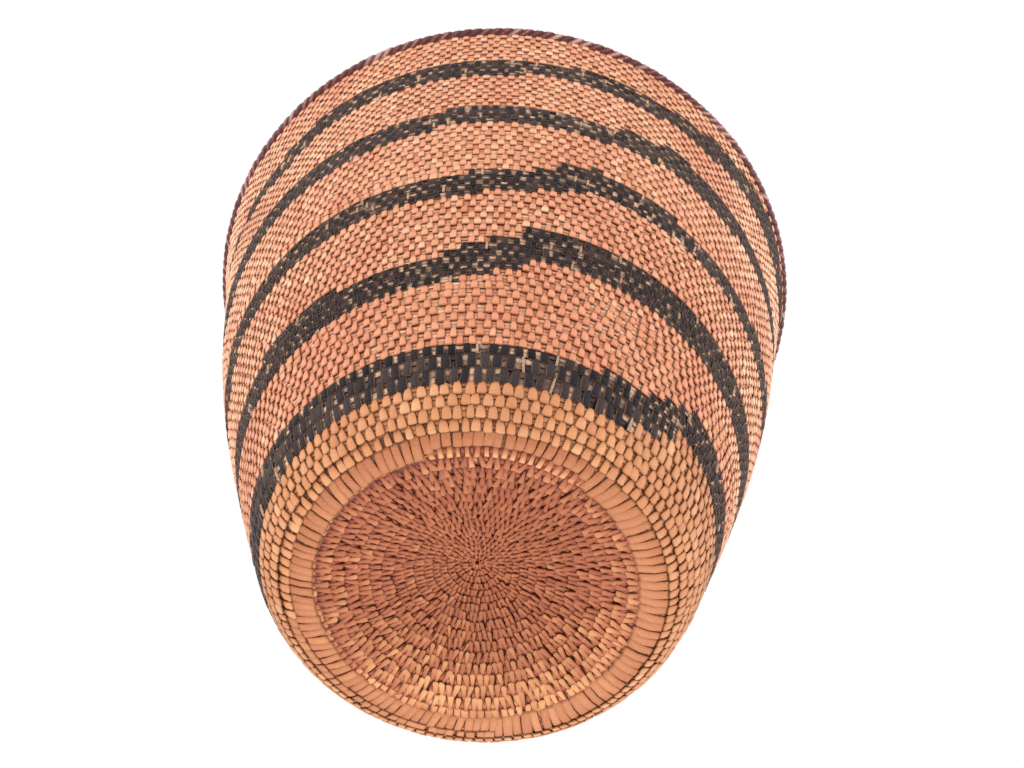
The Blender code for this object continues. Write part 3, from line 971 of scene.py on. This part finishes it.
@dataclass(frozen=True)
class Basket:
    """The basket: base, standing ring, wall with its stripes, and lashed rim.

    The tones, the painted foot highlight, which is partly worn paleness, and the contrast
    act on the red and green weave values.
    """

    form: BasketForm = BasketForm()
    rows: CoilRows = CoilRows(
        turns=(-18, -11, -7, 0, 1, 5, 7, 8, 16, 20, 30, 34, 44, 48, 58, 62, 70, 71),
        lengths=tuple(MM * length for length in (
            -53, -37.5, -25, 1.2, 6.3, 20.4, 30.5, 34, 59.5, 70.5, 99.5, 110, 138.5,
            150.5, 175.5, 187, 206.8, 209.5)),
        count_turns=(-18, -17, -15, -13, -11, -9, -7, -4, -2, -0.2, 0.2, 0.9, 1.3, 7, 8,
                     14, 17, 33, 35, 47, 49),
        counts=(8, 14, 32.5, 50.5, 66.5, 84.5, 98.5, 110.5, 120.5, 120.5, 110.5, 110.5,
                118.5, 118.5, 122.5, 122.5, 149.5, 149.5, 154.5, 154.5, 160.5))
    rim_wraps: int = 190
    ladder_azimuths: tuple[float, float] = (246.0, 306.0)
    ladder_fade: float = 8.0
    hem_cover: float = -2.3 * MM
    lining_lift: float = -0.8 * MM
    pressed: float = 0.62 * MM
    base_wear: float = 0.34
    base_dark_width: float = 42.0 * MM
    base_edge_width: float = 15.0 * MM
    hem_shown_azimuth: float = 320.0
    hem_filler_tone: float = 0.3
    turn_strip_tone: float = 0.7
    rubbed_end: float = 30.0 * MM
    low_wall_end: float = 62.0 * MM
    shade_end: float = 150.0 * MM
    shade_fade: float = 40.0 * MM
    dyed_tone: float = 0.52
    worn_above: float = 0.93
    worn_tone: float = 0.9
    worn_width: float = 0.22
    weft_tone: float = 0.56
    rubbed_weft_tone: float = 0.68
    weft_contrast: float = 1.4

    def seams(self, face: Meridian, azimuth: Array) -> Array:
        """Lengths at which the solids meet, from the middle of the base to the mouth.

        Args:
            face: The outer face.
            azimuth: Azimuths in degrees.

        Returns:
            Array with a row for each seam and a column for each azimuth.
        """
        start = face.lengths[0]
        edges = [start, start + self.form.start_coil_radius, 0.0]
        for stripe in STRIPES:
            edges += [edge.at(azimuth) for edge in stripe]
        return np.array([np.broadcast_to(edge, azimuth.shape)
                         for edge in (*edges, face.end)])

    def ladder(self, stitches: StitchSet) -> Array:
        """How far gaps show beside the hem's stitches, like a ladder.

        Args:
            stitches: Stitches of the basket.

        Returns:
            1 between the two azimuths at the front, falling smoothly to 0 past them.
        """
        bearing = stitches.azimuth % 360.0
        start, end = self.ladder_azimuths
        fade = self.ladder_fade
        return smooth((bearing - start) / fade) * smooth((end - bearing) / fade)

    def cover_hem(self, stitches: StitchSet, on_hem: Array) -> None:
        """Let one turn of the ring's stitches reach over the hem, but for the ladder.

        Args:
            stitches: Stitches of the basket, which are changed.
            on_hem: Which of them are on the hem.
        """
        ladder = self.ladder(stitches)
        shape = stitches.shape
        shape["width"] = np.where(on_hem, shape["width"] * (1.48 - 0.48 * ladder),
                                  shape["width"])
        on_ring = (stitches.course >= RING) & (stitches.course < FOOT)
        reaching = on_ring & (stitches.turns < stitches.turns[on_ring][0] + 1.0)
        longer = (1.0 - ladder) * (self.hem_cover - stitches.low)
        stitches.low = np.where(reaching, stitches.low + longer, stitches.low)
        shape["slant"] += 0.08 * (1.0 - ladder) * reaching
        covered = (1.0 - ladder) * smooth((stitches.course - HEM) / (1.2 * MM))
        shape["lift"] -= 0.5 * MM * covered * on_hem

    def tones(self, stitches: StitchSet) -> Array:
        """Tone of each stitch: its own, changed by where it lies.

        The base pales from its dark middle towards the back and the right: its middle is
        partly redder with age and partly painted shade in the recess, and its back and
        right are painted light. The hem is a paler course from the front round the right
        side. The ring pales towards the back, and the foot is pale from rubbing. The wall
        darkens low down, and pales at both sides with a painted sheen where it is seen at a
        slant.

        Args:
            stitches: Stitches of the basket.

        Returns:
            Tones between 0 and 1.
        """
        tone, course = stitches.tone, stitches.course
        angle = np.radians(stitches.azimuth)
        back = 0.5 + 0.5 * np.sin(angle)
        right = 0.5 + 0.5 * np.cos(angle)
        # Painted shade and light: the base is darkest in its recessed middle, partly its
        # own redder age, and pales outwards on the back side and to the right
        rubbed_and_unshaded = smooth((course + self.base_dark_width) / self.base_dark_width)
        edge = smooth((course + self.base_edge_width) / self.base_edge_width)
        base = 0.75 * tone - 0.16 + 0.46 * rubbed_and_unshaded * back ** 2 + edge * (0.02 + 0.24 * right)
        shown = smooth(0.3 + 1.4 * np.cos(
            np.radians(stitches.azimuth - self.hem_shown_azimuth)))
        hem = (base + 0.14 - 0.25 * back) * (1.0 - shown) + shown * (
            0.45 * tone + 0.2 + 0.22 * self.ladder(stitches))
        ring = 0.85 * tone - 0.56 + 0.3 * back
        foot = 0.65 * tone + 0.16
        # Painted sheen: the cosine term pales the wall at both sides, where it is seen at a
        # slant
        shade = 0.12 * smooth((self.shade_end - course) / self.shade_fade) + 0.2 * (
            course < self.low_wall_end) - 0.3 * np.cos(angle) ** 4
        zones = [course < end for end in (HEM, RING, FOOT, STRIPE, self.rubbed_end)]
        return np.clip(np.select(zones, [base, hem, ring, foot, tone], tone - shade),
                       0.0, 1.0)

    def dyed(self, stitches: StitchSet, worn: Array) -> StitchSet:
        """Dyed stitches: even and dark, and narrow and pale where they are worn.

        Args:
            stitches: Stitches of one dark stripe.
            worn: Which of them are worn.

        Returns:
            The changed stitches.
        """
        width = np.where(worn, self.worn_width, stitches.shape["width"])
        tone = np.where(worn, self.worn_tone, np.minimum(stitches.tone, self.dyed_tone))
        return replace(stitches, end_shade=0.0, wear=0.0, tone=tone,
                       shape=stitches.reshaped(width=width))

    def build(self, finishes: dict[Slot, Material], golden: Material,
              weft: Material) -> None:
        """Build every piece of the basket.

        Args:
            finishes: Material of each slot.
            golden: Material of the standing turn.
            weft: Material of the weft strips in the dark stripes.
        """
        form = self.form
        face = form.outer_face()
        stitches = StitchSet.along(face, self.rows, BASKET_STITCHES,
                                   (HEM, RING, FOOT, STRIPE, LOWER_WALL, UPPER_WALL),
                                   Seed.STITCHES)
        course = stitches.course
        on_hem = (course < RING) & (course > HEM)
        self.cover_hem(stitches, on_hem)
        stitches.tone = self.tones(stitches)
        # Inside, the stitches are sunk so that the lid's edge clears them
        lining = replace(stitches, face=face.inner(form.wall), stations=(-1.0, 0.0, 1.0),
                         shape=stitches.reshaped(lift=self.lining_lift))
        # The turn that stands on the table is pressed flat, level with the solid
        pressed = smooth((course + 9.0 * MM) / (6.0 * MM)) * smooth(
            (11.5 * MM - course) / (4.5 * MM))
        stitches.shape["lift"] -= self.pressed * pressed
        strips = stitches.strips(Seed.STRIPS)
        fillers = stitches.fillers(Seed.FILLERS)
        # Painted shade: the hem's fillers are darkened to stand for the shadowed gaps
        # between its stitches
        fillers.tone = np.where(on_hem, self.hem_filler_tone * fillers.tone, fillers.tone)
        worn = np.random.default_rng(Seed.WORN).random(len(course)) > self.worn_above
        core = Core(face, self.rows, form.wall)
        seams = self.seams(face, core.azimuth)
        names = ["base_start_coil", "base_coil", "standing_turn"]
        for number in range(1, len(STRIPES) + 1):
            names += [f"dark_stripe_{number}", f"plain_courses_{number}"]
        owner = (course > self.seams(face, stitches.azimuth)).sum(axis=0) - 1
        owner = np.clip(owner, 0, len(names) - 1)
        for index, name in enumerate(names):
            mine = owner == index
            chosen = stitches.take(mine)
            between = [strip.take(mine) for strip in strips]
            slot, inlay = Slot.NATURAL, None
            if name.startswith("base"):
                slot = Slot.BASE
                chosen.end_shade, chosen.wear = 0.0, self.base_wear
                between = [fillers.take(mine)]
            elif name.startswith("dark"):
                slot, inlay = Slot.DYED, weft
                chosen = self.dyed(chosen, worn[mine])
                # The lowest stripe is the most rubbed
                tone = self.rubbed_weft_tone if name == "dark_stripe_1" else self.weft_tone
                for strip in between:
                    strip.tone = np.clip(
                        tone + self.weft_contrast * (strip.tone - STRIP_TONE), 0.0, 1.0)
            material = finishes[slot]
            if name == "standing_turn":
                material = golden
                for strip in between:
                    strip.tone = self.turn_strip_tone * strip.tone
            solid = Solid(name, Body.BASKET, slot, material, inlay)
            solid.add("stitches", chosen.mesh_arrays())
            solid.add("core", core.mesh_arrays(seams[index], seams[index + 1]), True)
            solid.add("wefts", joined(*(part.mesh_arrays() for part in between)), True)
            solid.add("lining", lining.take(mine).mesh_arrays())
        lashing = Lashing(form.mouth_radius - form.rim_inset,
                          form.mouth_height + form.rim_rise, form.rim_half_width,
                          form.rim_half_height, self.rim_wraps)
        Solid("rim_lashing", Body.BASKET, Slot.LASHING, finishes[Slot.LASHING]).add(
            "wraps", lashing.mesh_arrays(Seed.RIM))


@dataclass(frozen=True)
class LidForm:
    """Driving sizes of the lid, the same as those of its solids.

    Only the stem is longer: its coil runs a little way into the lid and the cap.
    """

    edge_radius: float = 103.6 * MM
    edge_height: float = 182.7 * MM
    top_height: float = 196.7 * MM
    thickness: float = 3.4 * MM
    handle: float = 0.4
    rows: int = 36
    centre_rows: int = 14
    ring_rows: int = 4
    rim_radius: float = 106.1 * MM
    rim_height: float = 181.0 * MM
    rim_half_width: float = 3.1 * MM
    rim_half_height: float = 2.2 * MM
    stem_radius: float = 7.5 * MM
    stem_bottom: float = 196.6 * MM
    stem_height: float = 12.6 * MM
    cap_radius: float = 14.0 * MM
    cap_bottom: float = 206.75 * MM
    cap_height: float = 12.0 * MM

    def top_face(self) -> Meridian:
        """Top face from the middle to the edge of the disc."""
        return Meridian.through(bezier([
            (0.0, self.top_height), (self.edge_radius * self.handle, self.top_height),
            (self.edge_radius, self.edge_height)]), 0.0, -1.0)


@dataclass(frozen=True)
class Knob:
    """A short upright coil wound with strips: a squared ball of turned rows."""

    radius: float
    bottom: float
    height: float
    turns: int
    wraps: int
    square: float = 0.55
    bulge: float = 0.8 * MM
    columns: int = 160
    points: int = 65
    tone_count: int = 997

    def mesh_arrays(self, seed: Seed) -> MeshArrays:
        """Mesh of the coil.

        The section is a half superellipse from the lower to the upper pole. It
        swells once in each turn by a rounded sine, and strips cut it by a sharpened
        cosine of (wraps x azimuth + slant x place in the turn).

        Args:
            seed: Seed of the strips' tones.

        Returns:
            Points, quads and weave values.
        """
        around = (np.arange(self.columns) * TURN / self.columns)[:, None]
        angle = np.linspace(-0.25, 0.25, self.points)[None, :] * TURN
        half = 0.5 * self.height
        radius = self.radius * np.abs(np.cos(angle)) ** self.square
        height = half * np.sign(np.sin(angle)) * np.abs(np.sin(angle)) ** self.square
        steps = np.hypot(np.diff(radius[0]), np.diff(height[0]))
        length = np.concatenate([[0.0], np.cumsum(steps)])
        share = (length / length[-1])[None, :]
        row = share * self.turns * 2.0 - around / TURN
        swell = np.abs(np.sin(0.5 * TURN * row)) ** 0.7
        ease = np.sin(0.5 * TURN * share) ** 0.4
        phase = self.wraps * around + 1.2 * TURN * (row % 1.0)
        dip = (0.5 + 0.5 * np.cos(phase)) ** 3 * ease
        shrink = self.bulge * (1.0 - swell * ease) + 0.35 * MM * dip
        radius = np.maximum(radius - shrink * (radius / self.radius), 0.0)
        height = height * (1.0 - shrink / half) + self.bottom + half
        tones = np.clip(0.5 + draws(seed, self.tone_count)(0.2), 0.0, 1.0)
        strip = (np.floor(phase / TURN) + 31.0 * np.floor(row)).astype(int)
        # Painted shade: the grooves between strips and turns take the dark gap colour
        # through the green weave value
        depth = np.clip(dip + 0.8 * (1.0 - swell) * ease, 0.0, 1.0)
        return closed_mesh(
            turned(radius, height, around),
            [tones[strip % self.tone_count], depth, phase / TURN, row * 3.0], poles=True)


@dataclass(frozen=True)
class Lid:
    """The lid: two plain bands with a dark ring between them, lashed edge and knob."""

    form: LidForm = LidForm()
    spacing: float = 3.5 * MM
    rim_wraps: int = 136
    knob_turns: int = 2
    stem_wraps: int = 22
    cap_wraps: int = 34
    cap_square: float = 0.75

    def rows(self, face: Meridian) -> CoilRows:
        """Even rows of one coil, with more stitches in a turn as it grows.

        Args:
            face: The top face.

        Returns:
            The rows.
        """
        turns = tuple(float(turn) for turn in range(self.form.rows))
        pitch = face.end / self.form.rows
        radii = [face.radius(np.array((turn + 1.0) * pitch)) for turn in turns]
        counts = tuple(round(TURN * float(radius) / self.spacing) + 0.5 for radius in radii)
        return CoilRows(turns=(0.0, float(self.form.rows)), lengths=(0.0, face.end),
                        count_turns=turns, counts=counts, untied=0.2)

    def build(self, finishes: dict[Slot, Material], weft: Material) -> None:
        """Build every piece of the lid.

        Args:
            finishes: Material of each slot.
            weft: Material of the weft strips in the dark ring.
        """
        form = self.form
        face = form.top_face()
        rows = self.rows(face)
        top = StitchSet.along(face, rows, (LID_STITCH,), (), Seed.LID_STITCHES)
        top.stations = (-1.0, -0.6, 0.7, 1.0)
        # Below, the stitches are even and sunk a little
        even = shape_values((LID_STITCH,), np.zeros(len(top.tone), dtype=int))
        under = replace(top, face=face.inner(form.thickness), stations=(-1.0, 0.0, 1.0),
                        shape={**even, "lift": even["lift"] - 0.6 * MM})
        strips = top.strips(Seed.LID_STRIPS)
        core = Core(face, rows, form.thickness)
        plain, dyed, lashed = (finishes[slot] for slot in
                               (Slot.NATURAL, Slot.DYED, Slot.LASHING))
        solids = (Solid("lid_centre_coil", Body.LID, Slot.NATURAL, plain),
                  Solid("lid_dark_ring", Body.LID, Slot.DYED, dyed, weft),
                  Solid("lid_outer_coil", Body.LID, Slot.NATURAL, plain))
        seams = np.array([0.0, form.centre_rows, form.centre_rows + form.ring_rows,
                          form.rows]) * (face.end / form.rows)
        for solid, start, end in zip(solids, seams, seams[1:]):
            chosen = (top.course >= start) & (top.course < end)
            solid.add("stitches", top.take(chosen).mesh_arrays())
            solid.add("underside", under.take(chosen).mesh_arrays())
            solid.add("core", core.mesh_arrays(np.full(core.columns, start),
                                               np.full(core.columns, end)), True)
            solid.add("wefts", joined(*(strip.take(chosen).mesh_arrays()
                                        for strip in strips)), True)
        rim = Lashing(form.rim_radius, form.rim_height, form.rim_half_width,
                      form.rim_half_height, self.rim_wraps)
        stem = Knob(form.stem_radius, form.stem_bottom, form.stem_height,
                    self.knob_turns, self.stem_wraps)
        cap = Knob(form.cap_radius, form.cap_bottom, form.cap_height, self.knob_turns,
                   self.cap_wraps, self.cap_square)
        Solid("lid_rim_lashing", Body.LID, Slot.LASHING, lashed).add(
            "wraps", rim.mesh_arrays(Seed.LID_RIM))
        Solid("lid_knob_stem", Body.LID, Slot.NATURAL, plain).add(
            "coil", stem.mesh_arrays(Seed.STEM))
        Solid("lid_knob_cap", Body.LID, Slot.LASHING, lashed).add(
            "coil", cap.mesh_arrays(Seed.CAP))


def facing(forward: Array, up: Array) -> tuple[Array, Array]:
    """Frame of a view: the cross product of forward and up, and what is square to both.

    Args:
        forward: Unit vector along the view.
        up: A vector on the upper side.

    Returns:
        Unit vectors to the right and up.
    """
    right = np.cross(forward, up)
    right /= np.linalg.norm(right)
    return right, np.cross(right, forward)


@dataclass(frozen=True)
class Studio:
    """Camera, pale floor and plain soft light."""

    unit: float = 52.0 * MM
    distance: float = 7.405
    elevation: float = 51.58
    yaw: float = 0.72
    pitch: float = 9.37
    roll: float = 5.39
    focal_pixels: float = 1300.0
    sensor: float = 36.0
    daylight: float = 1.36
    floor_size: float = 3.0
    # Name, place, side of the square in metres and watts of each soft lamp
    lamps: tuple[tuple, ...] = (("front_soft", (-0.6, -1.3, 0.3), 0.9, 2.0),
                                ("left_soft", (-1.3, -0.4, 0.3), 0.9, 5.8),
                                ("right_soft", (1.3, -0.4, 0.3), 0.9, 5.8),
                                ("under_soft", (0.05, 0.35, -0.5), 0.4, 1.8),
                                ("top_soft", (0.3, 0.2, 1.5), 1.2, 4.0))
    lamp_target: tuple[float, float, float] = (0.0, 0.0, 0.09)

    def camera(self) -> None:
        """Place the camera below the front, looking up at the base."""
        low = math.radians(self.elevation)
        place = -self.distance * self.unit * np.array([0.0, math.cos(low), math.sin(low)])
        forward = -place / np.linalg.norm(place)
        right, up = facing(forward, np.array([0.0, 0.0, 1.0]))
        aim = (forward + math.tan(math.radians(self.yaw)) * right
               + math.tan(math.radians(self.pitch)) * up)
        aim /= np.linalg.norm(aim)
        right, up = facing(aim, up)
        roll = math.radians(self.roll)
        matrix = np.eye(4)
        matrix[:3, 0] = math.cos(roll) * right + math.sin(roll) * up
        matrix[:3, 1] = -math.sin(roll) * right + math.cos(roll) * up
        matrix[:3, 2] = -aim
        matrix[:3, 3] = place
        lens = bpy.data.cameras.new("camera")
        lens.sensor_width = self.sensor
        lens.lens = self.focal_pixels / IMAGE_WIDTH * self.sensor
        lens.clip_start = 0.01
        camera = put("camera", lens)
        camera.matrix_world = Matrix(matrix.tolist())
        bpy.context.scene.camera = camera

    def light(self) -> None:
        """Add the square soft lamps, which look at the middle of the basket."""
        for name, place, size, power in self.lamps:
            light = bpy.data.lights.new(name, "AREA")
            light.size = size
            light.energy = power
            lamp = put(name, light)
            lamp.location = place
            away = np.array(place) - np.array(self.lamp_target)
            turn_z = math.atan2(away[0], -away[1])
            tilt = math.acos(away[2] / float(np.linalg.norm(away)))
            lamp.rotation_euler = (tilt, 0.0, turn_z)

    @staticmethod
    def end_in_mix(tree: NodeTree, output: str, share: Socket, first: bpy.types.Node,
                   second: bpy.types.Node) -> None:
        """End a node tree in a mix of two shaders.

        Args:
            tree: The node tree.
            output: Type name of the output node, after ShaderNode.
            share: Share of the second shader.
            first: Node of the first shader.
            second: Node of the second shader.
        """
        mix = add_node(tree, "MixShader",
                       {0: share, 1: first.outputs[0], 2: second.outputs[0]})
        add_node(tree, output, {"Surface": mix.outputs[0]})

    def world(self) -> None:
        """White where the camera sees it, and a level soft light on the basket."""
        world = bpy.data.worlds.new("studio")
        bpy.context.scene.world = world
        world.use_nodes = True
        tree = world.node_tree
        tree.nodes.clear()
        path = add_node(tree, "LightPath").outputs
        seen = combined(tree, "MAXIMUM", path["Is Camera Ray"], path["Is Glossy Ray"])
        seen = combined(tree, "MAXIMUM", seen, path["Is Transmission Ray"])
        light, white = (
            add_node(tree, "Background", {"Color": linear("FFFFFF"), "Strength": strength})
            for strength in (self.daylight, 1.0))
        self.end_in_mix(tree, "OutputWorld", seen, light, white)

    def floor(self) -> None:
        """Pale floor that shows from above only, so the base is seen from below."""
        size = self.floor_size
        mesh = bpy.data.meshes.new("floor")
        mesh.from_pydata([(-size, -size, 0.0), (size, -size, 0.0), (size, size, 0.0),
                          (-size, size, 0.0)], [], [(0, 1, 2, 3)])
        floor = put("floor", mesh)
        material = bpy.data.materials.new("pale_matt_paper")
        material.use_nodes = True
        tree = material.node_tree
        tree.nodes.clear()
        geometry = add_node(tree, "NewGeometry").outputs
        path = add_node(tree, "LightPath").outputs
        front = combined(tree, "SUBTRACT", 1.0, geometry["Backfacing"])
        shown = combined(tree, "MULTIPLY", front, path["Is Camera Ray"])
        clear = add_node(tree, "BsdfTransparent")
        paper = add_node(tree, "BsdfDiffuse", {"Color": linear("F4F3F1")})
        self.end_in_mix(tree, "OutputMaterial", shown, clear, paper)
        mesh.materials.append(material)

    def build(self) -> None:
        """Set up the camera, the world, the floor and the lamps."""
        self.camera()
        self.world()
        self.floor()
        self.light()
        bpy.context.scene.view_settings.view_transform = "Standard"


def main() -> None:
    """Build the scene around the frame."""
    logging.basicConfig(level=logging.INFO, format="%(message)s")
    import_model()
    Studio().build()
    finishes = {Slot.NATURAL: NATURAL_SPLINT.material(), Slot.BASE: BASE_SPLINT.material(),
                Slot.DYED: DYED_SPLINT.material(), Slot.LASHING: MAROON_LASHING.material()}
    weft = DYED_WEFT.material()
    Basket().build(finishes, GOLDEN_SPLINT.material(), weft)
    Lid().build(finishes, weft)


if __name__ == "__main__":
    main()
